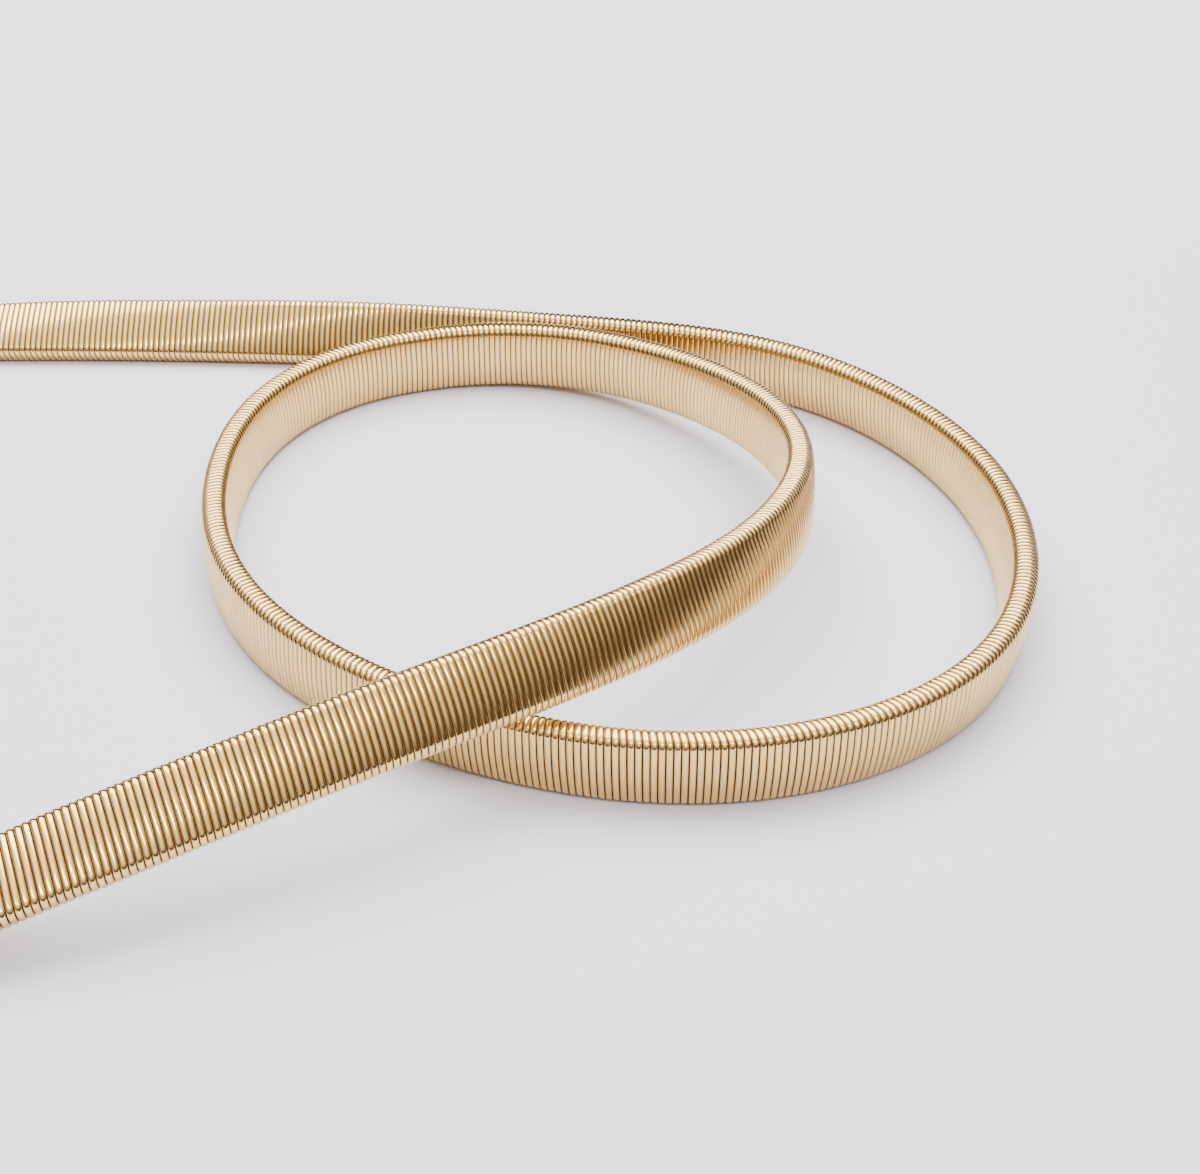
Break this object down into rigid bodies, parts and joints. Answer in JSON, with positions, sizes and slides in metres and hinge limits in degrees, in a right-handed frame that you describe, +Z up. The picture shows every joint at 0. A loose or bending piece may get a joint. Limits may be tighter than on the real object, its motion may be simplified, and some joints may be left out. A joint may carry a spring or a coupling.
{
  "type": "elastic stretch belt",
  "caption": "Slim stretch belt of flattened wound gold wire, lying open in one and a half loops, with a plain hook on one end and a slotted catch on the other.",
  "frame": {"origin": "on the surface that the belt lies on, under the middle of its overall size", "axes": "+Z up from the surface, -Y towards the viewer of the picture, both free ends point to -X"},
  "size_m": [0.1632, 0.1336, 0.0165],
  "materials": {
    "coil_gold": "bright pale gold plated wire",
    "clasp_gold": "polished pale gold plate"
  },
  "bodies": {
    "root": {"coil_band": "coil_gold", "clasp_hook": "clasp_gold", "clasp_catch": "clasp_gold"}
  },
  "joints": []
}
